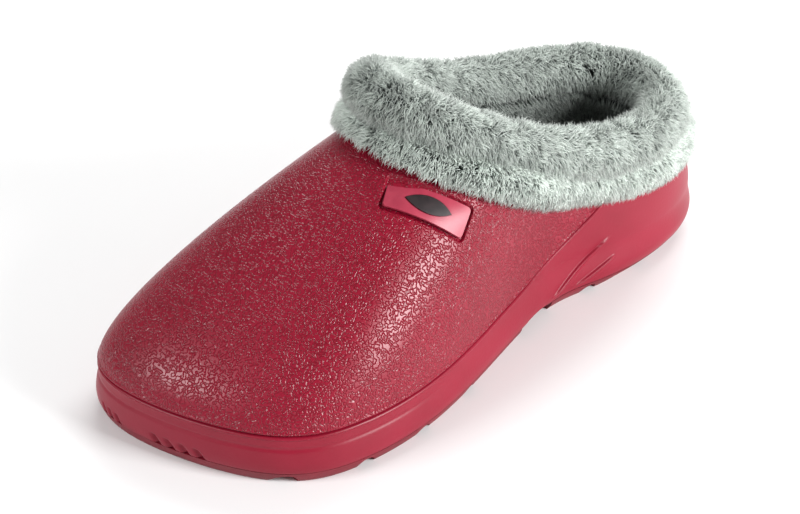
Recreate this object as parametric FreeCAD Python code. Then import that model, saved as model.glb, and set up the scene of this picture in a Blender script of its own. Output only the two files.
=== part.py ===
import FreeCAD, Part
import math
import os

# Left rubber garden clog with a fleece liner.  Millimetres, +Z up, toe towards -Y, outer side of the
# foot towards +X, origin on the ground under the middle of the sole.

V = FreeCAD.Vector

# ---- driving dimensions -------------------------------------------------------------------------
SHELL = 5.0            # wall of the foam-rubber shell
TREAD = 5.0            # thickness of the tread pads
FLOOR_Z = 15.0         # top of the sole unit's floor
INSOLE = 4.0           # foam footbed
PILE = 4.5             # fleece cloth with its pile pressed flat
CLEAR = 0.35           # space left between soft pieces
BULGE = 0.35           # 1 would be a fully domed upper, 0 a flared one

GROOVE_Z = 21.0        # height of the joint between sole unit and upper, round the toe
RIM_FRONT_Z = 92.0     # height of the shell's rim over the instep
RIM_HEEL_Z = 54.0      # height of the shell's rim behind the heel

ROLL_R = 11.0          # radius of the rolled collar
ROLL_FRONT_Z = 105.5   # height of the roll's centre over the instep
ROLL_HEEL_Z = 60.0     # height of the roll's centre behind the heel
ROLL_RISE = 2.2        # how late the collar starts to climb towards the instep
ROLL_TILT = 0.045      # fall of the roll for each millimetre towards the outer side
FOAM_R = 6.5           # radius of the foam inside the roll
BAND = 7.0             # thickness of the band folded down over the shell
BAND_TOP = 12.0        # distance of the band's upper and lower edges from the roll's centre
BAND_HEM = 21.0
HEM_CORD_R = 1.3       # radius of the elastic in the hem
HEM_CORD_UP = 3.5      # distance of the elastic from the band's lower edge

SOLE_EDGE = ((0, -1.0), (3, 1.0), (10, 1.8))     # (height, outset) of the sole's rounded side
HEEL_TUCK, HEEL_TUCK_Z = 6.0, 12.0               # how far the edge under the heel draws in, and from where
HEEL_TUCK_Y = (60, 100)                          # where it begins, and where it is full
JOINT_GAP = 0.5                                  # upright width of the groove at the joint
ARCH = ((14, 0), (23, 1.0), (32, 0))             # underside between the tread pads: (y, rise)
FOREFOOT_END, HEEL_START = 12.0, 34.0            # edges of the two tread pads
CHANNELS_FRONT = (-112, -84, -56, -27)           # y of the channels across each pad
CHANNELS_HEEL = (56, 86, 112)
CHANNEL_R = 3.8
RIB_RISE, RIB_WIDTH = 0.8, 4.0                              # height over the skin, width at the lower end
RIBS = (((31, 7), (66, 25)), ((42, 7), (68, 15)))           # lower and upper end of each rib: (y, z)
SLIT_STATIONS = (8.5, 8.62, 8.74, 8.86, 9.3, 9.42, 9.54)    # between stations of the sole's outline
SLIT_WIDTH, SLIT_DEPTH, SLIT_TOP, SLIT_LEAN = 1.4, 1.6, 9, 25    # the lean is in degrees

BADGE_AT = V(26, -29, 74)                # middle of the badge
BADGE_ALONG = V(0.67, 0.62, -0.4)        # direction of the badge's length
BADGE_OUT = V(0.65, -0.23, 0.73)         # direction that its face looks in
BADGE_LENGTH, BADGE_HEIGHT = 32.0, 12.0
BADGE_SINK, BADGE_MARGIN = 1.3, 1.3      # depth of the sunk field, width of the groove round the plate
BADGE_RISE = 0.3                         # height of the plate over the skin
LEAF_LENGTH, LEAF_WIDTH, LEAF_RISE = 18.0, 7.0, 0.5

SEAM_Y = 40.0          # the liner's two upright seams
TAPE_WIDTH, TAPE, TAPE_TOP = 9.0, 1.0, 60.0    # width, thickness and height of their tapes

# Stations round the shoe, from the heel along the outer side, the toe and the inner side:
# (x, y) on the widest line of the sole, and (x, y) on the rim of the foot opening.
BASE = [(2, 138), (25, 129), (38, 101), (37, 66), (33, 36), (42, -4), (53, -48), (53, -86), (36, -116),
        (-9, -136), (-42, -133), (-54, -103), (-49, -54), (-38, 2), (-34, 44), (-35, 96), (-23, 128)]
RIM = [(1, 125), (21, 115), (33, 94), (35, 70), (34, 48), (33, 28), (29, 10), (21, -8), (11, -18),
       (-3, -23), (-15, -20), (-25, -8), (-31, 10), (-32, 32), (-33, 54), (-31, 94), (-20, 117)]
COUNT = len(BASE)
FRONT = 9              # the station at the tip of the toe and at the front of the opening
HEEL_Y = RIM[0][1]
RIM_LENGTH = HEEL_Y - RIM[FRONT][1]

# Side view of the joint between sole unit and upper: (y, z) from the toe to above the heel.
JOINT = [(-170, GROOVE_Z), (-84, GROOVE_Z), (-14, GROOVE_Z), (24, 24), (46, 32), (62, 44), (74, 60), (90, 90)]


def rim_z(y):
    """Height of the flat, tilted rim plane at y."""
    return RIM_HEEL_Z + (RIM_FRONT_Z - RIM_HEEL_Z) * (HEEL_Y - y) / RIM_LENGTH


def skin_point(i, s):
    """Point of the outer skin at station i: s = 0 on the sole's widest line, s = 1 on the rim."""
    (base_x, base_y), (rim_x, rim_y) = BASE[i % COUNT], RIM[i % COUNT]
    inward = 1 - math.cos(s * math.pi / 2)
    upward = BULGE * math.sin(s * math.pi / 2) + (1 - BULGE) * inward
    return V(base_x + (rim_x - base_x) * inward,
             base_y + (rim_y - base_y) * inward,
             GROOVE_Z + (rim_z(rim_y) - GROOVE_Z) * upward)


def skin_normal(i, s):
    """Outward normal of the skin at station i."""
    step = 0.02
    along = skin_point(i + 1, s) - skin_point(i - 1, s)
    up = skin_point(i, min(s + step, 1)) - skin_point(i, max(s - step, 0))
    normal = up.cross(along)
    return normal.normalize()


def skin_ring(s, offset):
    """Ring of points round the shoe at level s, moved out from the skin by offset."""
    return [skin_point(i, s) + skin_normal(i, s) * offset for i in range(COUNT)]


def heel_tuck(y, z):
    """How far the sole's edge draws in at height z, under the heel only."""
    start, full = HEEL_TUCK_Y
    along = min(max((y - start) / (full - start), 0), 1)
    low = max(1 - z / HEEL_TUCK_Z, 0)
    return HEEL_TUCK * along * low ** 2


def wall_ring(z, offset):
    """Ring at height z that follows the sole's widest line, moved out by offset."""
    ring = []
    for i in range(COUNT):
        edge = skin_point(i, 0)
        edge += skin_normal(i, 0) * (offset - heel_tuck(edge.y, z))
        ring.append(V(edge.x, edge.y, z))
    return ring


def cap_ring(offset, lift):
    """Ring straight above the rim ring, on a plane parallel to the rim and lifted by lift."""
    ring = skin_ring(1, offset)
    return [V(p.x, p.y, rim_z(p.y) + lift) for p in ring]


def closed_wire(points):
    """Smooth closed curve; every ring shares one parameter for each station."""
    curve = Part.BSplineCurve()
    params = [i / COUNT for i in range(COUNT + 1)]
    curve.interpolate(Points=points, PeriodicFlag=True, Parameters=params)
    return Part.Wire([curve.toShape()])


def loft(rings):
    return Part.makeLoft([closed_wire(r) for r in rings], True, False)


# ---- lofted bodies that follow the skin ---------------------------------------------------------
LEVELS = (0, 0.14, 0.28, 0.42, 0.56, 0.7, 0.85)
ABOVE = 12.0                              # how far a cavity runs on above the rim
WIDE, LONG, HIGH = 120.0, 200.0, 260.0    # reach of the cutting bodies, well outside the clog


def outer_body(offset=0.0):
    """Filled outside shape of the clog, grown by offset."""
    sole = [wall_ring(z, out + offset) for z, out in SOLE_EDGE]
    return loft(sole + [skin_ring(s, offset) for s in LEVELS] + [cap_ring(offset, 0)])


def cavity_body(depth, floor):
    """Foot space whose wall lies depth inside the skin and whose bottom is at floor."""
    walls = [skin_ring(s, -depth) for s in LEVELS + (1,)]
    return loft([wall_ring(floor, -depth)] + walls + [cap_ring(-depth, ABOVE)])


def pad(inset, bottom, top):
    """Flat pad with the outline of the sole, inset from its widest line."""
    return loft([wall_ring(bottom, -inset), wall_ring(top, -inset)])


def box(x, y, z):
    """Box between the given (low, high) pairs."""
    size = [high - low for low, high in (x, y, z)]
    return Part.makeBox(*size, V(x[0], y[0], z[0]))


def above_line(points, shift=0.0):
    """Everything above a side-view line of (y, z) points, across the whole width."""
    curve = Part.BSplineCurve()
    curve.interpolate([V(-WIDE, y, z + shift) for y, z in points])
    first, last = curve.StartPoint, curve.EndPoint
    corners = [last, V(-WIDE, last.y, HIGH), V(-WIDE, first.y, HIGH), first]
    face = Part.Face(Part.Wire([curve.toShape()] + Part.makePolygon(corners).Edges))
    return face.extrude(V(2 * WIDE, 0, 0))


def outer_plate(outline):
    """Plate with a side-view outline of (y, z) corners, from the middle of the clog outwards."""
    corners = [V(0, y, z) for y, z in outline]
    return Part.Face(Part.makePolygon(corners + corners[:1])).extrude(V(WIDE, 0, 0))


# ---- closed rings: roll, foam, elastic, band ----------------------------------------------------
def roll_centre(i):
    x, y = RIM[i % COUNT]
    rise = max(0.0, (HEEL_Y - y) / RIM_LENGTH) ** ROLL_RISE
    return V(x, y, ROLL_HEEL_Z + (ROLL_FRONT_Z - ROLL_HEEL_Z) * rise - ROLL_TILT * x)


def ring_body(sections):
    """Closed ring through a list of closed sections, smooth both ways round."""
    across = len(sections[0])
    surface = Part.BSplineSurface()
    surface.buildFromPolesMultsKnots(sections, [1] * (COUNT + 1), [1] * (across + 1),
                                     list(range(COUNT + 1)), list(range(across + 1)), True, True, 3, 3)
    solid = Part.Solid(Part.Shell([surface.toShape()]))
    if solid.Volume < 0:
        solid.reverse()
    return solid


def round_ring(centre, radius):
    """Ring of round section along the closed line of centre(i)."""
    poles = 8
    reach = radius * 3 / (2 + math.cos(2 * math.pi / poles))
    sections = []
    for i in range(COUNT):
        along = (centre(i + 1) - centre(i - 1)).normalize()
        side = along.cross(V(0, 0, 1)).normalize()
        up = side.cross(along)
        section = []
        for k in range(poles):
            angle = 2 * math.pi * k / poles
            section.append(centre(i) + side * (reach * math.cos(angle)) + up * (reach * math.sin(angle)))
        sections.append(section)
    return ring_body(sections)


def level_at(i, distance):
    """Level of the skin that lies the given distance from the roll's centre, going down from the rim."""
    s = 1.0
    while s > 0 and skin_point(i, s).distanceToPoint(roll_centre(i)) < distance:
        s -= 0.005
    return s


def band_point(i, distance, offset):
    """Point over the skin at a distance from the roll's centre, raised by offset."""
    s = level_at(i, distance)
    return skin_point(i, s) + skin_normal(i, s) * offset


def band_section(i):
    """Poles of the band's section: up its back, round its tip and up its outer face."""
    middle = (BAND_TOP + BAND_HEM) / 2
    inner = [band_point(i, d, 2 * CLEAR) for d in (BAND_TOP, middle, BAND_HEM)]
    outer = [band_point(i, d, BAND) for d in (BAND_HEM, middle, BAND_TOP)]
    tip = band_point(i, BAND_HEM + 3, BAND / 2)
    tuck = band_point(i, BAND_TOP - 3, BAND / 2)
    return inner + [tip] + outer + [tuck]


def hem_centre(i):
    return band_point(i, BAND_HEM - HEM_CORD_UP, BAND / 2)


# ---- shell and sole -----------------------------------------------------------------------------
def shell_body(roll_room):
    return outer_body().cut(cavity_body(SHELL, FLOOR_Z)).cut(roll_room)


def arch_room():
    """Hollow under the waist of the sole."""
    (y0, _), (y1, rise), (y2, _) = ARCH
    under = TREAD + CLEAR
    arc = Part.Arc(V(-WIDE, y0, under), V(-WIDE, y1, under + rise), V(-WIDE, y2, under)).toShape()
    chord = Part.makeLine(V(-WIDE, y2, under), V(-WIDE, y0, under))
    return Part.Face(Part.Wire([arc, chord])).extrude(V(2 * WIDE, 0, 0))


def toe_slits():
    """Thin leaning cuts in the sole's edge below the toe."""
    edge = closed_wire(wall_ring(*SOLE_EDGE[1])).Edges[0].Curve
    slits = []
    for station in SLIT_STATIONS:
        place, along = edge.value(station / COUNT), edge.tangent(station / COUNT)[0]
        turn = math.degrees(math.atan2(along.y, along.x))
        slit = box((-SLIT_WIDTH / 2, SLIT_WIDTH / 2), (-SLIT_DEPTH, SLIT_DEPTH), (-3, SLIT_TOP))
        slit.rotate(V(0, 0, 0), V(0, 1, 0), SLIT_LEAN)
        slit.rotate(V(0, 0, 0), V(0, 0, 1), turn)
        slit.translate(place)
        slits.append(slit)
    return slits


def sole_ribs():
    """Raised streaks that climb the outer side of the waist and narrow to a point."""
    reach, core = outer_body(RIB_RISE), outer_body(-SHELL / 2)
    streaks = [outer_plate([low, (low[0] + RIB_WIDTH, low[1]), top]) for low, top in RIBS]
    return [streak.common(reach).cut(core) for streak in streaks]


def sole_unit(shell):
    body = shell.cut(above_line(JOINT, -JOINT_GAP / 2))
    for rib in sole_ribs():
        body = body.fuse(rib)
    body = body.cut(box((-WIDE, WIDE), (-LONG, LONG), (-1, TREAD + CLEAR)))
    return body.cut(arch_room()).cut(Part.makeCompound(toe_slits()))


def upper_vamp(shell):
    return shell.common(above_line(JOINT, JOINT_GAP / 2)).cut(badge_room())


def tread(y_range, channels):
    """Tread pad with half-round channels across it."""
    pad_body = outer_body().common(box((-WIDE, WIDE), y_range, (-1, TREAD)))
    for y in channels:
        pad_body = pad_body.cut(Part.makeCylinder(CHANNEL_R, 2 * WIDE, V(-WIDE, y, 0), V(1, 0, 0)))
    return pad_body


# ---- badge --------------------------------------------------------------------------------------
def badge_frame():
    """Rotation and place of the badge: its length lies along the foot, its face looks outwards."""
    return FreeCAD.Placement(BADGE_AT, FreeCAD.Rotation(BADGE_ALONG, V(0, 0, 1), BADGE_OUT, "XZY"))


def badge_block(length, height):
    block = Part.makeBox(length, height, 30, V(-length / 2, -height / 2, -15))
    block = block.makeFillet(1.5, [e for e in block.Edges if abs(e.tangentAt(0).z) > 0.9])
    block.Placement = badge_frame()
    return block


def between(block, low, high):
    """Part of a block that lies between two offsets from the skin."""
    return block.common(outer_body(high)).cut(outer_body(low))


def badge_room():
    """Sunk field in the upper, with a groove left open all round the plate."""
    block = badge_block(BADGE_LENGTH + 2 * BADGE_MARGIN, BADGE_HEIGHT + 2 * BADGE_MARGIN)
    return block.cut(outer_body(-BADGE_SINK))


def leaf_block(grow):
    """Plain pointed leaf, made of two arcs, standing across the badge."""
    half, belly = LEAF_LENGTH / 2 + grow, LEAF_WIDTH / 2 + grow
    tip, tail = V(half, 0, -15), V(-half, 0, -15)
    arcs = [Part.Arc(tip, V(0, belly, -15), tail).toShape(), Part.Arc(tail, V(0, -belly, -15), tip).toShape()]
    block = Part.Face(Part.Wire(arcs)).extrude(V(0, 0, 30))
    block.Placement = badge_frame()
    return block


def badge_plate():
    plate = between(badge_block(BADGE_LENGTH, BADGE_HEIGHT), CLEAR - BADGE_SINK, BADGE_RISE)
    return plate.cut(leaf_block(CLEAR).cut(outer_body(0)))


def badge_leaf():
    return between(leaf_block(0), CLEAR, BADGE_RISE + LEAF_RISE)


# ---- collar -------------------------------------------------------------------------------------
def collar_roll():
    return round_ring(roll_centre, ROLL_R).cut(round_ring(roll_centre, FOAM_R + CLEAR))


def collar_foam():
    return round_ring(roll_centre, FOAM_R)


def collar_band(roll_room):
    band = ring_body([band_section(i) for i in range(COUNT)])
    return band.cut(outer_body(CLEAR)).cut(roll_room).cut(round_ring(hem_centre, HEM_CORD_R + CLEAR))


def hem_elastic():
    return round_ring(hem_centre, HEM_CORD_R)


# ---- liner --------------------------------------------------------------------------------------
INSOLE_BOTTOM = FLOOR_Z + CLEAR
SOCK_BOTTOM = INSOLE_BOTTOM + INSOLE + CLEAR
LINER_BOTTOM = SOCK_BOTTOM + PILE + CLEAR
LINER_OUT = SHELL + CLEAR


def liner_shell(roll_room):
    """Fleece wall round the foot, from the sock's sole up to the roll."""
    wall = cavity_body(LINER_OUT, FLOOR_Z).cut(cavity_body(LINER_OUT + PILE, FLOOR_Z))
    wall = wall.cut(box((-WIDE, WIDE), (-LONG, LONG), (0, LINER_BOTTOM))).cut(roll_room)
    return wall.cut(above_line(collar_line()))


def collar_line():
    """Side view of the roll's centre line."""
    centres = [roll_centre(i) for i in range(FRONT + 1)]
    far_back, far_front = centres[0], centres[-1]
    line = [(far_front.y - LONG, far_front.z)] + [(c.y, c.z) for c in reversed(centres)]
    return line + [(far_back.y + LONG, far_back.z)]


def liner_part(wall, y_range):
    """Largest piece of the wall within y_range, without the slivers under the roll."""
    pieces = wall.common(box((-WIDE, WIDE), y_range, (0, HIGH))).Solids
    return max(pieces, key=lambda piece: piece.Volume)


def seam_tape():
    """Tape over the two upright seams of the liner, on the foot's side."""
    depth = LINER_OUT + PILE + CLEAR
    strip = box((-WIDE, WIDE), (SEAM_Y - TAPE_WIDTH / 2, SEAM_Y + TAPE_WIDTH / 2), (LINER_BOTTOM, TAPE_TOP))
    return strip.common(cavity_body(depth, FLOOR_Z)).cut(cavity_body(depth + TAPE, FLOOR_Z))


# ---- build --------------------------------------------------------------------------------------
def build():
    roll_room = round_ring(roll_centre, ROLL_R + CLEAR)
    shell = shell_body(roll_room)
    liner = liner_shell(roll_room)
    return {
        "upper_vamp": upper_vamp(shell),
        "sole_unit": sole_unit(shell),
        "forefoot_tread": tread((-LONG, FOREFOOT_END), CHANNELS_FRONT),
        "heel_tread": tread((HEEL_START, LONG), CHANNELS_HEEL),
        "badge_plate": badge_plate(),
        "badge_leaf": badge_leaf(),
        "collar_roll": collar_roll(),
        "collar_foam": collar_foam(),
        "collar_band": collar_band(roll_room),
        "hem_elastic": hem_elastic(),
        "liner_front": liner_part(liner, (-LONG, SEAM_Y - CLEAR / 2)),
        "liner_back": liner_part(liner, (SEAM_Y + CLEAR / 2, LONG)),
        "liner_seam_tape": seam_tape(),
        "liner_sole": pad(LINER_OUT, SOCK_BOTTOM, SOCK_BOTTOM + PILE),
        "insole_foam": pad(LINER_OUT + 1, INSOLE_BOTTOM, INSOLE_BOTTOM + INSOLE),
    }


os.makedirs("parts", exist_ok=True)
for name, shape in build().items():
    shape.exportStep("parts/" + name + ".step")
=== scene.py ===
import bpy
import math
import numpy as np
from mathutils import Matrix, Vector


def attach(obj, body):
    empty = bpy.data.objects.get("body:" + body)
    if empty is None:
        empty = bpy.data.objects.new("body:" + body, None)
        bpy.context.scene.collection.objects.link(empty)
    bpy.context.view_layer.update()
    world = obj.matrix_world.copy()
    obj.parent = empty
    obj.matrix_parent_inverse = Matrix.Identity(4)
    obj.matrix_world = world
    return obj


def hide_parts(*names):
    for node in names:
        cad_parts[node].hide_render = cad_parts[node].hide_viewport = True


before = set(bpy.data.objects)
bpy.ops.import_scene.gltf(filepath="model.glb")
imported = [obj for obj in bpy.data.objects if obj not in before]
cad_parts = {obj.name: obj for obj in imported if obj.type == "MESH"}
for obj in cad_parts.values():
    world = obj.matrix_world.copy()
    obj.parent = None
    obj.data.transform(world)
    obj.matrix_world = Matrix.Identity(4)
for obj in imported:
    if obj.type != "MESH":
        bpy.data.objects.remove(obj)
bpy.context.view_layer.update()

MM = 0.001

# ---- driving sizes of the clog, in millimetres, the same as the frame's ------------------------
TREAD = 5.35           # underside of the sole unit
GROOVE_Z = 21.0
RIM_FRONT_Z, RIM_HEEL_Z = 92.0, 54.0
ROLL_R = 6.8           # radius of the collar's cloth below its pile
ROLL_FRONT_Z, ROLL_HEEL_Z, ROLL_RISE, ROLL_TILT = 105.5, 60.0, 2.2, 0.045
BAND_HEM = 21.0        # distance of the band's lower edge from the roll's centre
BULGE = 0.35
LINER_DEPTH = 9.0      # from the skin to the face of the lining
BASE = [(2, 138), (25, 129), (38, 101), (37, 66), (33, 36), (42, -4), (53, -48), (53, -86), (36, -116),
        (-9, -136), (-42, -133), (-54, -103), (-49, -54), (-38, 2), (-34, 44), (-35, 96), (-23, 128)]
RIM = [(1, 125), (21, 115), (33, 94), (35, 70), (34, 48), (33, 28), (29, 10), (21, -8), (11, -18),
       (-3, -23), (-15, -20), (-25, -8), (-31, 10), (-32, 32), (-33, 54), (-31, 94), (-20, 117)]
COUNT = len(BASE)
FRONT = 9
HEEL_Y = RIM[0][1]
RIM_LENGTH = HEEL_Y - RIM[FRONT][1]
SOLE_EDGE = ((0, -1.0), (3, 1.0), (10, 1.8), (21, 0))
JOINT = [(-170, 21), (-84, 21), (-14, 21), (24, 24), (46, 32), (62, 44), (74, 60), (90, 90)]
ARCH_START, ARCH_END, ARCH_RISE = 14.0, 32.0, 1.0
HEEL_TUCK, HEEL_TUCK_Z, HEEL_TUCK_Y = 6.0, 12.0, (60, 100)    # the edge under the heel draws in


# ---- the skin as a formula ----------------------------------------------------------------------
def blend_poles(poles, t):
    """Closed smooth curve that the poles pull on; t counts stations."""
    whole = np.floor(t).astype(int)
    f = (t - whole)[..., None]
    weights = ((1 - f) ** 3, 3 * f ** 3 - 6 * f ** 2 + 4, -3 * f ** 3 + 3 * f ** 2 + 3 * f + 1, f ** 3)
    return sum(w * poles[(whole + k - 1) % len(poles)] for k, w in enumerate(weights)) / 6


def poles_through(points):
    """Poles of the closed smooth curve that passes through the points."""
    n = len(points)
    pull = sum(w * np.roll(np.eye(n), k, axis=1) for w, k in ((1, -1), (4, 0), (1, 1))) / 6
    return np.linalg.solve(pull, np.array(points, float))


BASE_POLES = poles_through(BASE)
RIM_POLES = poles_through(RIM)
OUTSET = np.polyfit(*zip(*SOLE_EDGE), 3)


def rim_z(y):
    return RIM_HEEL_Z + (RIM_FRONT_Z - RIM_HEEL_Z) * (HEEL_Y - y) / RIM_LENGTH


def skin(t, s):
    """Point of the outer skin: s = 0 on the sole's widest line, s = 1 on the rim."""
    base, rim = blend_poles(BASE_POLES, t), blend_poles(RIM_POLES, t)
    inward = 1 - np.cos(s * math.pi / 2)
    upward = BULGE * np.sin(s * math.pi / 2) + (1 - BULGE) * inward
    flat = base + (rim - base) * inward[..., None]
    z = GROOVE_Z + (rim_z(rim[..., 1]) - GROOVE_Z) * upward
    return np.concatenate([flat, z[..., None]], axis=-1)


def unit(v):
    return v / np.maximum(np.linalg.norm(v, axis=-1, keepdims=True), 1e-9)


def skin_normal(t, s):
    step = 0.01
    along = skin(t + step, s) - skin(t - step, s)
    up = skin(t, np.minimum(s + step, 1)) - skin(t, np.maximum(s - step, 0))
    return unit(np.cross(up, along))


def heel_tuck(y, z):
    """How far the sole's edge draws in at height z, under the heel only."""
    start, full = HEEL_TUCK_Y
    along = np.clip((y - start) / (full - start), 0, 1)
    return HEEL_TUCK * along * np.maximum(1 - z / HEEL_TUCK_Z, 0) ** 2


def shell(t, h, offset=0.0):
    """Skin with the sole's side below it: h from -1, the underside, through 0 to 1, the rim."""
    s = np.maximum(h, 0)
    normal = skin_normal(t, s)
    point = skin(t, s)
    z = GROOVE_Z + np.minimum(h, 0) * (GROOVE_Z - under_z(point[..., 1]))
    below = h < 0
    point[..., 2] = np.where(below, z, point[..., 2])
    out = np.where(below, np.polyval(OUTSET, z) - heel_tuck(point[..., 1], z), 0) + offset
    return point + normal * out[..., None], normal


def under_z(y):
    """Height of the sole unit's underside, raised at the arch."""
    middle = (y - ARCH_START) / (ARCH_END - ARCH_START)
    inside = np.clip(middle, 0, 1)
    return TREAD + ARCH_RISE * 4 * inside * (1 - inside)


def joint_z(y):
    """Side view of the joint between sole unit and upper."""
    ys, zs = np.array(JOINT, float).T
    slopes = np.gradient(zs, ys)
    k = np.clip(np.searchsorted(ys, y) - 1, 0, len(ys) - 2)
    width = ys[k + 1] - ys[k]
    f = np.clip((y - ys[k]) / width, 0, 1)
    start = (1 + 2 * f) * (1 - f) ** 2 * zs[k] + f * (1 - f) ** 2 * width * slopes[k]
    return start + f * f * (3 - 2 * f) * zs[k + 1] + f * f * (f - 1) * width * slopes[k + 1]


def joint_level(t):
    """Level at which the skin meets the joint, 1 where the joint has run off the rim."""
    levels = np.linspace(0, 1, 401)
    points = skin(np.repeat(t[:, None], len(levels), 1), np.repeat(levels[None], len(t), 0))
    above = points[..., 2] > joint_z(points[..., 1]) + 1e-3
    first = np.argmax(above, axis=1)
    return np.where(above.any(axis=1), levels[first], 1.0)


# ---- meshes -------------------------------------------------------------------------------------
def make_object(name, verts, faces, material):
    """Smooth mesh from points in millimetres, on the clog's one body."""
    mesh = bpy.data.meshes.new(name)
    mesh.from_pydata((np.asarray(verts) * MM).tolist(), [], faces)
    mesh.materials.append(material)
    mesh.shade_smooth()
    obj = bpy.data.objects.new(name, mesh)
    bpy.context.scene.collection.objects.link(obj)
    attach(obj, "root")
    return obj


def grid_faces(rows, columns, closed):
    """Quads of a grid of rows; a closed grid joins its last column to its first."""
    r, c = np.meshgrid(np.arange(rows - 1), np.arange(columns if closed else columns - 1), indexing="ij")
    right = (c + 1) % columns
    corners = (r * columns + c, r * columns + right, (r + 1) * columns + right, (r + 1) * columns + c)
    return np.stack(corners, -1).reshape(-1, 4).tolist()


def grid_object(name, grid, material, closed=True):
    rows, columns = grid.shape[:2]
    return make_object(name, grid.reshape(-1, 3), grid_faces(rows, columns, closed), material)


# ---- materials ----------------------------------------------------------------------------------
class Nodes:
    """Short way to build a material's node tree."""

    def __init__(self, name, roughness, sheen=0.0):
        self.material = bpy.data.materials.new(name)
        self.material.use_nodes = True
        self.tree = self.material.node_tree
        self.shader = self.tree.nodes["Principled BSDF"]
        self.shader.inputs["Roughness"].default_value = roughness
        self.shader.inputs["Sheen Weight"].default_value = sheen

    def add(self, kind, links=(), **values):
        """New node; links gives (its input, a socket), values its input defaults."""
        node = self.tree.nodes.new(kind)
        for key, value in values.items():
            node.inputs[key.replace("_", " ")].default_value = value
        for key, socket in links:
            self.link(socket, node.inputs[key])
        return node

    def link(self, source, target):
        self.tree.links.new(source, target)

    def coordinates(self):
        return self.add("ShaderNodeTexCoord").outputs["Object"]

    def noise(self, scale, detail):
        where = [("Vector", self.coordinates())]
        return self.add("ShaderNodeTexNoise", where, Scale=scale, Detail=detail).outputs["Fac"]

    def math(self, operation, a, b=0.0, clamp=False):
        node = self.tree.nodes.new("ShaderNodeMath")
        node.operation = operation
        node.use_clamp = clamp
        for socket, value in zip(node.inputs, (a, b)):
            if isinstance(value, (int, float)):
                socket.default_value = value
            else:
                self.link(value, socket)
        return node.outputs[0]

    def ramp(self, factor, stops):
        node = self.add("ShaderNodeValToRGB", [("Fac", factor)])
        marks = node.color_ramp.elements
        while len(marks) < len(stops):
            marks.new(0.5)
        for mark, (position, colour) in zip(marks, stops):
            mark.position = position
            mark.color = (*colour, 1)
        return node.outputs["Color"]

    def bump(self, height, distance, strength):
        node = self.add("ShaderNodeBump", [("Height", height)], Distance=distance, Strength=strength)
        return node.outputs["Normal"]

    def colour(self, socket):
        self.link(socket, self.shader.inputs["Base Color"])

    def normal(self, socket):
        self.link(socket, self.shader.inputs["Normal"])


CRIMSON = (0.215, 0.0030, 0.0170)
CRIMSON_DEEP = (0.150, 0.0020, 0.0110)
CRIMSON_PALE = (0.270, 0.0055, 0.0250)
GLOSS = 0.36            # specular level of the foam rubber
GRAIN_PITCH = 0.0013    # metres between the worm-like ridges of the upper


def grain_height(n):
    """Worm-like ridges that wind between narrow valleys: 1 on a ridge, 0 in a valley."""
    field = n.noise(1 / GRAIN_PITCH, 0.0)
    away = n.math("ABSOLUTE", n.math("SUBTRACT", field, 0.5))
    return n.math("MULTIPLY", away, 7.0, clamp=True)


def upper_material():
    n = Nodes("grained_upper", 0.31)
    n.shader.inputs["Specular IOR Level"].default_value = GLOSS
    ridges = grain_height(n)
    patches = n.noise(26, 3)
    # Colour is partly random patches of the crimson and partly the grain's height: the valleys are darker as
    # painted shade, the ridge tops paler as painted highlight.
    n.colour(n.ramp(n.math("ADD", n.math("MULTIPLY", ridges, 0.45), n.math("MULTIPLY", patches, 0.55)),
                    [(0.15, CRIMSON_DEEP), (0.55, CRIMSON), (0.95, CRIMSON_PALE)]))
    n.normal(n.bump(ridges, 0.00026, 0.7))
    return n.material


def sole_material():
    n = Nodes("smooth_sole", 0.40)
    n.shader.inputs["Specular IOR Level"].default_value = GLOSS
    n.colour(n.ramp(n.noise(34, 4), [(0.3, CRIMSON), (0.7, CRIMSON_PALE)]))
    n.normal(n.bump(n.noise(900, 3), 0.00016, 0.35))
    return n.material


def tread_material():
    n = Nodes("tread_rubber", 0.55)
    n.colour(n.ramp(n.noise(60, 5), [(0.3, CRIMSON_DEEP), (0.75, CRIMSON)]))
    n.normal(n.bump(n.noise(1300, 4), 0.0002, 0.5))
    return n.material


def plain_material(name, low, high, scale, roughness, bump):
    """Two close tones in noise with a fine bump of the same scale."""
    n = Nodes(name, roughness)
    n.colour(n.ramp(n.noise(scale, 4), [(0.3, low), (0.7, high)]))
    n.normal(n.bump(n.noise(scale * 9, 3), bump, 0.5))
    return n.material


def woven_material(name, low, high, pitch):
    """Plain weave from two crossed waves in object space."""
    n = Nodes(name, 0.85, sheen=0.3)
    axes = n.add("ShaderNodeSeparateXYZ", [("Vector", n.coordinates())])
    beat = 2 * math.pi / pitch
    across = n.math("SINE", n.math("MULTIPLY", axes.outputs["Y"], beat))
    along = n.math("SINE", n.math("MULTIPLY", axes.outputs["Z"], beat))
    weave = n.math("MULTIPLY", across, along)
    n.colour(n.ramp(n.math("ADD", n.math("MULTIPLY", weave, 0.3), 0.5), [(0.2, low), (0.8, high)]))
    n.normal(n.bump(weave, pitch / 4, 0.6))
    return n.material


# The root colour is painted shade: strands darken towards the root as if shaded by the pile around them.
FLEECE_ROOT_SHADE = (0.09, 0.105, 0.095)
FLEECE_MID = (0.33, 0.37, 0.34)
FLEECE_TIP = (0.56, 0.61, 0.565)
PILE_UV = "OFBake"


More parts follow.
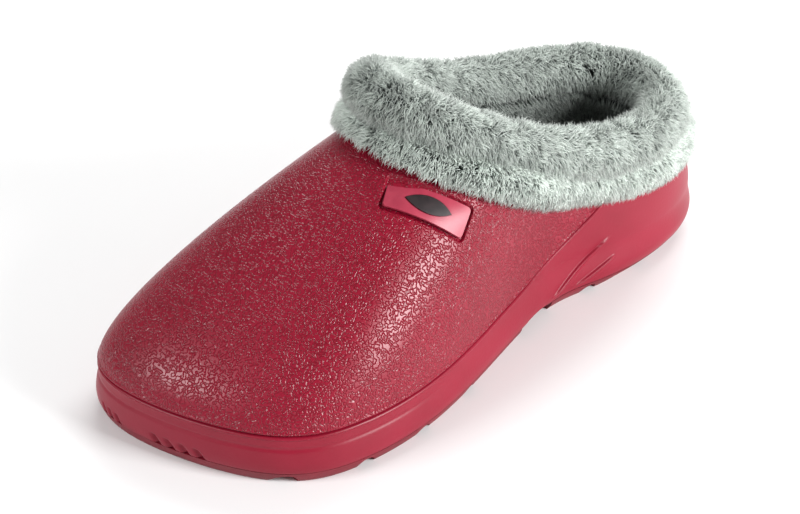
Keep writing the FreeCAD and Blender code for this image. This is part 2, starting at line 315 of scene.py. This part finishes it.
def pile_material(name, shade):
    """Strands: dark at the root as painted shade deep in the pile, pale at the tip.  The map's v runs up a
    strand and its u is its tone.
    """
    n = Nodes(name, 0.82, sheen=0.25)
    uv = n.tree.nodes.new("ShaderNodeUVMap")
    uv.uv_map = PILE_UV
    axes = n.add("ShaderNodeSeparateXYZ", [("Vector", uv.outputs["UV"])])
    # The shade argument scales the whole pile's tone: above 1 it is painted light, below 1 painted shade.
    tone = n.math("ADD", 0.7 * shade, n.math("MULTIPLY", axes.outputs["X"], 0.6 * shade))
    up = n.ramp(axes.outputs["Y"], [(0.0, FLEECE_ROOT_SHADE), (0.45, FLEECE_MID), (1.0, FLEECE_TIP)])
    tinted = n.add("ShaderNodeVectorMath", [(0, up)])
    tinted.operation = "SCALE"
    n.link(tone, tinted.inputs["Scale"])
    n.colour(tinted.outputs[0])
    return n.material


# ---- shell: upper and sole unit -----------------------------------------------------------------
BADGE_AT = np.array([26, -29, 74.0])   # middle of the badge
BADGE_ALONG = unit(np.array([0.67, 0.62, -0.4]))
BADGE_OUT = np.array([0.65, -0.23, 0.73])
BADGE_OUT = unit(BADGE_OUT - BADGE_ALONG * (BADGE_OUT @ BADGE_ALONG))
BADGE_UP = np.cross(BADGE_OUT, BADGE_ALONG)
BADGE_HALF = np.array([17.3, 7.3])     # half of the sunk field that the badge lies in
BADGE_SINK = 1.35      # depth of the field
BADGE_CORNER = 1.8     # corner radius of the field
BADGE_REACH = 12.0     # skin lying deeper than this behind the badge is another side of the clog
BADGE_STATION = 7.1    # the upper's columns lie closest together here
UPPER_COLUMNS, UPPER_ROWS = 900, 300
SOLE_COLUMNS, SOLE_ROWS = 1500, 130
UPPER_BEAD = (0.35, 1.0, 0.6)          # bead beside the joint: height, distance from it, half-width
SOLE_BEAD = (0.42, 1.2, 0.5)
EDGE_DROP, EDGE_WIDTH = 1.6, 0.7       # how far and how wide a moulded edge turns in at the joint
TUCK = 4.0             # depth of the hidden flange that closes the joint


def smooth_step(value, low, high):
    f = np.clip((value - low) / (high - low), 0, 1)
    return f * f * (3 - 2 * f)


def badge_sink(points):
    """How far the skin is pushed in round the badge."""
    local = points - BADGE_AT
    flat = np.stack([local @ BADGE_ALONG, local @ BADGE_UP], -1)
    beyond = np.abs(flat) - (BADGE_HALF - BADGE_CORNER)
    distance = np.linalg.norm(np.maximum(beyond, 0), axis=-1) + np.minimum(beyond.max(-1), 0) - BADGE_CORNER
    near = (local @ BADGE_OUT) > -BADGE_REACH
    return -BADGE_SINK * (1 - smooth_step(distance, -0.5, 0.15)) * near


def moulded_edge(gap, bead):
    """Relief at a distance from the joint: the edge turns in, and a low bead runs beside it."""
    rise, at, half = bead
    turned_in = EDGE_DROP * (1 - smooth_step(gap, 0, EDGE_WIDTH))
    return rise * np.exp(-((gap - at) / half) ** 2) - turned_in


def station_samples(start, end, count, finer_at, width, gain=3.0):
    """Stations from start to end, closer together round finer_at."""
    fine = np.linspace(start, end, 4000)
    density = 1 + gain * np.exp(-((fine - finer_at) / width) ** 2)
    reach = np.concatenate([[0], np.cumsum((density[1:] + density[:-1]) / 2)])
    return np.interp(np.linspace(0, reach[-1], count), reach, fine)


def upper_shell():
    """Toe cap and instep, from the joint up to the rim, with a bead and a turned-in edge at the joint."""
    ends = np.linspace(0, COUNT, 3401)
    open_at = ends[joint_level(ends) < 0.995]
    t = station_samples(open_at[0], open_at[-1], UPPER_COLUMNS, finer_at=BADGE_STATION, width=1.1)
    low = joint_level(t)
    climb = np.linspace(0, 1, UPPER_ROWS)
    h = low[None] + (1 - low)[None] * climb[:, None]
    across = np.repeat(t[None], UPPER_ROWS, 0)
    points, normal = shell(across, h)
    gap = np.linalg.norm(points - points[:1], axis=-1)
    points = points + normal * (moulded_edge(gap, UPPER_BEAD) + badge_sink(points))[..., None]
    tucked = shell(across[:1], h[:1], -TUCK)[0]
    grid = np.concatenate([tucked, points])
    obj = grid_object("upper_shell", grid, upper_material(), closed=False)
    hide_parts("upper_vamp")


RIBS = (((31, 5), (66, 25)), ((42, 5), (68, 15)))
RIB_RISE, RIB_HALF = 1.1, 1.7
HEEL_RIDGES = (33, 37, 41, 45)         # heights of the fine ridges round the heel counter
RIDGE_RISE, RIDGE_HALF = 0.35, 0.7
CREASE_Z, CREASE_DEPTH, CREASE_HALF = 15.5, 0.35, 0.8


def rib_rise(points):
    """Two raised streaks on the outer side of the waist: steep above, sloping away below, thin at the top."""
    rise = np.zeros(points.shape[:-1])
    for (y0, z0), (y1, z1) in RIBS:
        run, climb = y1 - y0, z1 - z0
        length = math.hypot(run, climb)
        along = ((points[..., 1] - y0) * run + (points[..., 2] - z0) * climb) / length ** 2
        above = ((points[..., 2] - z0) * run - (points[..., 1] - y0) * climb) / length
        half = RIB_HALF * (1.1 - 0.7 * np.clip(along, 0, 1))
        steep = 1 - smooth_step(above, 0.1 * half, 0.5 * half)
        sloping = smooth_step(above, -1.6 * half, 0.1 * half)
        ends = smooth_step(along, -0.1, 0.05) * (1 - smooth_step(along, 0.85, 1))
        rise = np.maximum(rise, RIB_RISE * steep * sloping * ends)
    return rise * (points[..., 0] > 5) * smooth_step(points[..., 2], 6.5, 9.5)


def heel_ridges(points):
    """Fine level ridges round the back of the heel."""
    at_heel = smooth_step(points[..., 1], 108, 124)
    ridges = sum(np.exp(-((points[..., 2] - z) / RIDGE_HALF) ** 2) for z in HEEL_RIDGES)
    return RIDGE_RISE * ridges * at_heel


def toe_crease(points):
    """Shallow second line round the toe, under the joint."""
    at_toe = 1 - smooth_step(points[..., 1], -70, -30)
    return -CREASE_DEPTH * np.exp(-((points[..., 2] - CREASE_Z) / CREASE_HALF) ** 2) * at_toe


SLIT_STATIONS = (8.5, 8.62, 8.74, 8.86, 9.3, 9.42, 9.54)
SLIT_TOP, SLIT_DEPTH = 10.0, 1.5
SLIT_HALF, SLIT_LEAN = 0.022, 0.012    # in stations, and in stations for each millimetre of height


def toe_slits(t, points):
    """Thin leaning cuts in the edge below the toe."""
    cut = np.zeros(points.shape[:-1])
    z = points[..., 2]
    for station in SLIT_STATIONS:
        off = (t - station - SLIT_LEAN * (z - 5)) / SLIT_HALF
        cut = np.maximum(cut, np.exp(-off ** 2) * (1 - smooth_step(z, SLIT_TOP - 2.5, SLIT_TOP)))
    return -SLIT_DEPTH * cut


def sole_shell():
    """Side of the sole with the heel counter above it, closed below."""
    t = np.linspace(0, COUNT, SOLE_COLUMNS, endpoint=False)
    top = joint_level(t)
    climb = np.linspace(0, 1, SOLE_ROWS)
    h = -1 + (top + 1)[None] * climb[:, None]
    across = np.repeat(t[None], SOLE_ROWS, 0)
    points, normal = shell(across, h)
    gap = np.linalg.norm(points - points[-1:], axis=-1)
    open_edge = (top < 0.99)[None]
    relief = rib_rise(points) + heel_ridges(points) + toe_crease(points) + toe_slits(across, points)
    points = points + normal * (moulded_edge(gap, SOLE_BEAD) * open_edge + relief)[..., None]
    tucked = shell(across[-1:], h[-1:], -TUCK)[0]
    grid = np.concatenate([underside(points[0]), points, tucked])
    obj = grid_object("sole_shell", grid, sole_material())
    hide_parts("sole_unit")


def middle_line(edge, front, back):
    """The sole's middle line between two ends, with a point for every point of its edge."""
    spine = edge.copy()
    spine[:, 0] = np.interp(edge[:, 1], (-100, 40, 120), (-6, -1, 1))
    spine[:, 1] = np.clip(edge[:, 1], front, back)
    return spine


UNDERSIDE_ROWS = 14


def underside(edge):
    """Rows that close the sole from its middle line out to its lower edge."""
    spine = middle_line(edge, -118, 118)
    steps = np.linspace(0, 1, UNDERSIDE_ROWS, endpoint=False)[:, None, None]
    rows = spine + (edge - spine) * steps
    rows[..., 2] = under_z(rows[..., 1])
    return rows


def dress_cad_nodes():
    """The treads and the badge are shown as the frame has them, with materials of their own; the badge
    plate's paler pink is painted sheen of its flat face.
    """
    tread = tread_material()
    # The badge plate's pale pink is painted sheen: light off its flat face, painted into its colour.
    badge = plain_material("badge_rubber_painted_sheen", (0.34, 0.030, 0.060), (0.42, 0.045, 0.080), 220, 0.4, 0.00005)
    leaf = plain_material("leaf_rubber", (0.012, 0.008, 0.009), (0.03, 0.018, 0.02), 300, 0.55, 0.00004)
    node_materials = {"forefoot_tread": tread, "heel_tread": tread, "badge_plate": badge, "badge_leaf": leaf}
    for name, material in node_materials.items():
        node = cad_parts[name]
        node.data.materials.clear()
        node.data.materials.append(material)


# ---- collar, lining and footbed -----------------------------------------------------------------
def roll_poles():
    rims = np.array(RIM, float)
    rise = np.maximum(0, (HEEL_Y - rims[:, 1]) / RIM_LENGTH) ** ROLL_RISE
    height = ROLL_HEEL_Z + (ROLL_FRONT_Z - ROLL_HEEL_Z) * rise - ROLL_TILT * rims[:, 0]
    return np.column_stack([rims, height])


ROLL_POLES = roll_poles()


def roll_centre(t):
    return blend_poles(ROLL_POLES, t)


def tube(t, centre, radius, sides, bumps=0.0):
    """Rows round the closed line centre(t), and their outward normals; bumps makes the section uneven."""
    step = 0.02
    along = unit(centre(t + step) - centre(t - step))
    out = unit(np.cross(np.array([0, 0, 1.0]), along))
    up = np.cross(along, out)
    angle = np.linspace(0, 2 * math.pi, sides, endpoint=False)[:, None]
    normal = np.cos(angle)[..., None] * out + np.sin(angle)[..., None] * up
    uneven = np.sin(3 * t[None] * 2.1 + 2 * angle) + np.sin(t[None] * 9.3 - angle) * 0.6
    return centre(t) + normal * (radius + bumps * uneven)[..., None], normal


def level_at(t, distance):
    """Level of the skin at the given distance from the roll's centre, going down from the rim."""
    levels = np.linspace(1, 0, 301)
    wide_t = np.repeat(t[:, None], len(levels), 1)
    points = skin(wide_t, np.repeat(levels[None], len(t), 0))
    far = np.linalg.norm(points - roll_centre(t)[:, None], axis=-1) >= distance
    return np.where(far.any(axis=1), levels[np.argmax(far, axis=1)], 0.0)


# Section of the folded-down band: (distance from the hem towards the roll, offset from the skin).
BAND_SECTION = ((14, 2), (11.5, 3.8), (9.5, 5.0), (7, 5.4), (4.5, 4.8),
                (3, 3.6), (2, 2.2), (3, 0.8), (8, 0.6))


def band_rows(t):
    """Rows of the band from under the roll, over its outer face and the hem, to its back."""
    marks = np.linspace(0, 1, len(BAND_SECTION))
    fine = np.linspace(0, 1, 41)
    curve = [np.interp(fine, marks, column) for column in zip(*BAND_SECTION)]
    soften = np.array([0.25, 0.5, 0.25])
    rows = []
    for up, offset in zip(*[np.convolve(np.pad(c, 1, "edge"), soften, "valid") for c in curve]):
        level = level_at(t, BAND_HEM - up)
        rows.append(skin(t, level) + skin_normal(t, level) * offset)
    return np.array(rows)


def grid_normals(grid, closed=True):
    """Unit normals of a grid, on the side that its rows and columns turn about."""
    along = np.roll(grid, -1, 1) - np.roll(grid, 1, 1) if closed else np.gradient(grid, axis=1)
    return unit(np.cross(np.gradient(grid, axis=0), along))


def pick_roots(rng, count, grids, closed):
    """Random places on a grid, even by area, with every given grid's value there."""
    points = grids[0]
    step = np.roll(points, -1, 1) if closed else points[:, 1:]
    base = points if closed else points[:, :-1]
    size = np.linalg.norm(step[:-1] - base[:-1], axis=-1) * np.linalg.norm(base[1:] - base[:-1], axis=-1)
    cell = rng.choice(size.size, count, p=size.ravel() / size.sum())
    row, column = np.divmod(cell, size.shape[1])
    right = (column + 1) % points.shape[1]
    u, v = rng.random((2, count, 1))
    return [(g[row, column] * (1 - u) + g[row, right] * u) * (1 - v)
            + (g[row + 1, column] * (1 - u) + g[row + 1, right] * u) * v for g in grids]


STRAND_ROOT, STRAND_MID = 0.26, 0.20    # half-widths of a strand in millimetres


def grow_pile(name, grids, count, length, material, seed, lean=0.45, clump=3.2, closed=True):
    """Mesh strands on a grid.  grids are points, outward normals and the way the pile is brushed."""
    rng = np.random.default_rng(seed)
    root, out, brush = pick_roots(rng, count, grids, closed)
    out = unit(out)
    stray = rng.normal(0, 0.28, (count, 3))
    reach = (length * rng.uniform(0.72, 1.18, count))[:, None]
    way = unit(out + brush * lean + stray)
    tuft = nearest_tuft(rng, root, clump)
    tip = root + way * reach
    tip = tip + (tip[tuft] - tip) * rng.uniform(0.2, 0.6, count)[:, None]
    mid = root + unit(out + brush * lean * 0.4 + stray * 0.5) * reach * 0.52
    mid = mid + (mid[tuft] - mid) * 0.12
    tone = 0.5 + 0.24 * rng.normal(0, 1, count)[tuft] + 0.12 * rng.normal(0, 1, count)
    return strand_object(name, root - out * 0.4, mid, tip, np.clip(tone, 0.02, 0.98), material, rng)


def nearest_tuft(rng, root, spacing):
    """For each strand, the strand in the middle of its tuft."""
    cells = np.floor((root + rng.normal(0, 0.3 * spacing, root.shape)) / spacing).astype(int)
    _, first, member = np.unique(cells, axis=0, return_index=True, return_inverse=True)
    return first[member.ravel()]


def strand_object(name, root, mid, tip, tone, material, rng):
    """Three-sided strands that narrow to a point, as one mesh."""
    count = len(root)
    side = unit(np.cross(tip - root, rng.normal(0, 1, (count, 3))))
    other = unit(np.cross(tip - root, side))
    rings = []
    for centre, width in ((root, STRAND_ROOT), (mid, STRAND_MID)):
        for k in range(3):
            a = 2 * math.pi * k / 3
            rings.append(centre + (side * math.cos(a) + other * math.sin(a)) * width)
    verts = np.stack(rings + [tip], axis=1).reshape(-1, 3)
    first = 7 * np.arange(count)[:, None]
    quads = np.concatenate([first + [k, (k + 1) % 3, 3 + (k + 1) % 3, 3 + k] for k in range(3)])
    caps = np.concatenate([first + [3 + k, 3 + (k + 1) % 3, 6] for k in range(3)])
    obj = make_object(name, verts, quads.tolist() + caps.tolist(), material)
    heights = np.concatenate([np.tile([0, 0, 0.5, 0.5], 3 * count), np.tile([0.5, 0.5, 1.0], 3 * count)])
    tones = np.concatenate([np.repeat(np.tile(tone, 3), 4), np.repeat(np.tile(tone, 3), 3)])
    layer = obj.data.uv_layers.new(name=PILE_UV)
    layer.data.foreach_set("uv", np.stack([tones, 0.02 + 0.96 * heights], -1).ravel())
    return obj


def brushed(points, direction):
    """The same brushing direction at every point of a grid."""
    return np.broadcast_to(unit(np.array(direction, float)), points.shape)


# The cloth under every pile is near black: painted shade, showing as dark gaps between strands and as the
# crease between the roll and the band.
def fleece_cloth_painted_shade():
    return plain_material("fleece_cloth_painted_shade", (0.03, 0.036, 0.033), (0.07, 0.08, 0.074), 700, 0.95, 0.0003)


RING_COLUMNS = 420     # columns of the meshes that run round the collar
ROLL_PARTS = 3         # the roll's pile is split into this many meshes
BAND_OUTER_ROWS = 30   # rows of the band that show, from the roll to the hem


def collar(cloth, pile, band_pile):
    """Rolled collar and the band folded down under it, each a cloth core under its pile."""
    t = np.linspace(0, COUNT, RING_COLUMNS, endpoint=False)
    points, normal = tube(t, roll_centre, ROLL_R, 40, bumps=0.25)
    rows = np.concatenate([points, points[:1]])
    core = grid_object("collar_roll_core", rows, cloth)
    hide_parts("collar_roll")
    normals = np.concatenate([normal, normal[:1]])
    share = RING_COLUMNS // ROLL_PARTS
    for k in range(ROLL_PARTS):
        columns = np.arange(k * share, (k + 1) * share + 1) % RING_COLUMNS
        grids = [rows[:, columns], normals[:, columns], brushed(rows[:, columns], (0.1, -0.1, -1))]
        grow_pile(f"collar_roll_pile_{k + 1}", grids, 19000, 6.0, pile, seed=11 + k, lean=0.5, closed=False)

    band = band_rows(t)
    facing = -grid_normals(band)
    core = grid_object("collar_band_core", band, cloth)
    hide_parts("collar_band")
    down = unit(np.gradient(band, axis=0))
    grids = [grid[:BAND_OUTER_ROWS] for grid in (band, facing, down)]
    grow_pile("collar_band_pile", grids, 24000, 5.0, band_pile, seed=21, lean=0.75)


FOAM_R = 6.4
HEM_CORD_R, HEM_CORD_UP = 1.3, 3.5     # radius, distance from the hem and from the skin


def hidden_rings():
    """Foam in the roll and elastic in the hem."""
    t = np.linspace(0, COUNT, 240, endpoint=False)
    foam = plain_material("soft_foam", (0.55, 0.54, 0.48), (0.66, 0.65, 0.6), 500, 0.9, 0.0002)
    rows, _ = tube(t, roll_centre, FOAM_R, 24)
    core = grid_object("collar_foam_core", np.concatenate([rows, rows[:1]]), foam)
    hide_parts("collar_foam")
    cord = woven_material("elastic_cover", (0.02, 0.02, 0.02), (0.06, 0.06, 0.06), 0.0008)
    level = level_at(t, BAND_HEM - HEM_CORD_UP)
    line = skin(t, level) + skin_normal(t, level) * HEM_CORD_UP
    rows, _ = tube(np.arange(float(len(t))), lambda k: blend_poles(line, k), HEM_CORD_R, 12)
    elastic = grid_object("hem_elastic_cord", np.concatenate([rows, rows[:1]]), cord)
    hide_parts("hem_elastic")
    return foam


SEAM_LATERAL, SEAM_MEDIAL = 3.87, 13.9    # stations of the lining's two upright seams
FOOTBED_TOP = 24.0
LINING_LOW = 0.05      # level of the skin where the lining's wall begins
LINING_ROWS = 40
TAPE_HALF, TAPE_ROWS, TAPE_COLUMNS = 0.14, 30, 12      # the half-width is in stations


def lining_rows(t, depth):
    """Wall of the lining, from the footbed up to the roll."""
    top = level_at(t, FOAM_R + 0.1)
    h = LINING_LOW + (top - LINING_LOW)[None] * np.linspace(0, 1, LINING_ROWS)[:, None]
    across = np.repeat(t[None], LINING_ROWS, 0)
    rows, normal = shell(across, h, -depth)
    foot = rows[:1].copy()
    foot[..., 2] = FOOTBED_TOP - 1
    return np.concatenate([foot, rows]), np.concatenate([normal[:1], normal])


def lining(cloth, pile):
    """Front and back of the fleece sock's wall, with tape behind its two seams."""
    parts = (("front", SEAM_LATERAL, SEAM_MEDIAL, 9000), ("back", SEAM_MEDIAL, COUNT + SEAM_LATERAL, 16000))
    for k, (side, start, end, strands) in enumerate(parts):
        t = np.linspace(start, end, 260)
        rows, normal = lining_rows(t, LINER_DEPTH)
        wall = grid_object(f"lining_{side}_cloth", rows, cloth, closed=False)
        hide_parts(f"liner_{side}")
        grids = [rows, -normal, brushed(rows, (0, 0, -1))]
        grow_pile(f"lining_{side}_pile", grids, strands, 6.0, pile, seed=31 + k, lean=0.3, closed=False)
    tape = woven_material("seam_tape", (0.08, 0.085, 0.08), (0.14, 0.15, 0.145), 0.0012)
    strips = []
    for seam in (SEAM_LATERAL, SEAM_MEDIAL):
        t = np.linspace(seam - TAPE_HALF, seam + TAPE_HALF, TAPE_COLUMNS)
        rows, _ = lining_rows(t, LINER_DEPTH + 0.6)
        strips.append(rows[:TAPE_ROWS])
    verts = np.concatenate([strip.reshape(-1, 3) for strip in strips])
    faces = grid_faces(TAPE_ROWS, TAPE_COLUMNS, False)
    second = [[v + TAPE_ROWS * TAPE_COLUMNS for v in face] for face in faces]
    obj = make_object("lining_seam_tape", verts, faces + second, tape)
    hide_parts("liner_seam_tape")


PAD_LOWER_ROWS, PAD_UPPER_ROWS = 10, 24


def pad_rows(inset, bottom, top, crown):
    """Closed pad with the sole's outline: bottom, rounded edge and a crowned top."""
    t = np.linspace(0, COUNT, 360, endpoint=False)
    edge = skin(t, np.zeros_like(t)) - skin_normal(t, np.zeros_like(t)) * inset
    spine = middle_line(edge, -105, 110)
    rows = []
    for reach in np.linspace(0, 1, PAD_LOWER_ROWS):
        rows.append(np.column_stack([(spine + (edge - spine) * reach)[:, :2], np.full(len(t), bottom)]))
    for reach in np.linspace(1, 0, PAD_UPPER_ROWS):
        height = top - (top - bottom) * 0.35 * reach ** 8 + crown * (1 - reach ** 2)
        rows.append(np.column_stack([(spine + (edge - spine) * reach)[:, :2], np.full(len(t), height)]))
    return np.array(rows)


def footbed(cloth, pile, foam):
    """Foam insole under the fleece sole of the sock."""
    insole = grid_object("insole_pad", pad_rows(6.5, 15.4, 19.3, 0), foam)
    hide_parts("insole_foam")
    rows = pad_rows(5.6, 19.8, 22.5, 0.8)
    sock = grid_object("footbed_cloth", rows, cloth)
    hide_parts("liner_sole")
    top = rows[PAD_LOWER_ROWS:]
    grids = [top, brushed(top, (0, 0, 1)), brushed(top, (0.2, 1, 0))]
    grow_pile("footbed_pile", grids, 20000, 5.0, pile, seed=41, lean=0.7)


# ---- stage --------------------------------------------------------------------------------------
FLOOR_HALF = 6.0
WORLD_LIGHT = 0.27
# Name, direction it shines from, width, height and power in watts.
SOFTBOXES = (
    ("side_softbox", (0.87, 0.28, 0.37), 0.30, 0.36, 11.5),
    ("toe_softbox", (-0.22, -0.84, 0.48), 0.34, 0.20, 4.0),
    ("rear_softbox", (-0.55, 0.75, 0.75), 0.9, 0.6, 8.0),
)
LIGHT_DISTANCE = 0.9


def studio():
    """Pale floor, soft world light and three softboxes."""
    pale = plain_material("pale_floor", (0.86, 0.86, 0.86), (0.88, 0.88, 0.88), 3, 0.7, 0.00001)
    mesh = bpy.data.meshes.new("floor")
    corners = [(x * FLOOR_HALF, y * FLOOR_HALF, 0) for x, y in ((-1, -1), (1, -1), (1, 1), (-1, 1))]
    mesh.from_pydata(corners, [], [(0, 1, 2, 3)])
    mesh.materials.append(pale)
    floor = bpy.data.objects.new("floor", mesh)
    bpy.context.scene.collection.objects.link(floor)
    world = bpy.data.worlds.new("studio")
    world.use_nodes = True
    world.node_tree.nodes["Background"].inputs["Color"].default_value = (1, 1, 1, 1)
    world.node_tree.nodes["Background"].inputs["Strength"].default_value = WORLD_LIGHT
    bpy.context.scene.world = world
    bpy.context.scene.view_settings.view_transform = "Standard"    # keeps the crimson deep
    lights = [softbox(*values) for values in SOFTBOXES]


def softbox(name, direction, width, height, power):
    """Area light that stands off in a direction and faces the clog."""
    light = bpy.data.lights.new(name, "AREA")
    light.shape = "RECTANGLE"
    light.size, light.size_y, light.energy = width, height, power
    obj = bpy.data.objects.new(name, light)
    towards = Vector(direction).normalized()
    obj.location = towards * LIGHT_DISTANCE + Vector((0, 0, 0.05))
    obj.rotation_euler = towards.to_track_quat("Z", "Y").to_euler()
    bpy.context.scene.collection.objects.link(obj)
    return obj


VIEW_AZIMUTH, VIEW_ELEVATION, VIEW_DISTANCE = 47.2, 34.6, 0.709
LENS = 81.0
AIM = Vector((-0.002, -0.016, 0.032))


def camera():
    """Camera above the outer side of the toe, level with the horizon."""
    data = bpy.data.cameras.new("camera")
    data.lens = LENS
    obj = bpy.data.objects.new("camera", data)
    az, el = math.radians(VIEW_AZIMUTH), math.radians(VIEW_ELEVATION)
    back = Vector((math.sin(az) * math.cos(el), -math.cos(az) * math.cos(el), math.sin(el)))
    obj.location = AIM + back * VIEW_DISTANCE
    obj.rotation_euler = back.to_track_quat("Z", "Y").to_euler()
    bpy.context.scene.collection.objects.link(obj)
    bpy.context.scene.camera = obj


# ---- scene --------------------------------------------------------------------------------------
upper_shell()
sole_shell()
dress_cad_nodes()
cloth = fleece_cloth_painted_shade()
# The lining's pile is painted darker, as painted shade inside the clog.
inner_pile = pile_material("lining_pile", 0.7)
# The band's pile is painted lighter, as painted light against the shade among its strands; the roll's is near
# its own tone.
collar(cloth, pile_material("roll_pile", 1.05), pile_material("band_pile", 1.4))
foam = hidden_rings()
lining(cloth, inner_pile)
footbed(cloth, inner_pile, foam)
studio()
camera()
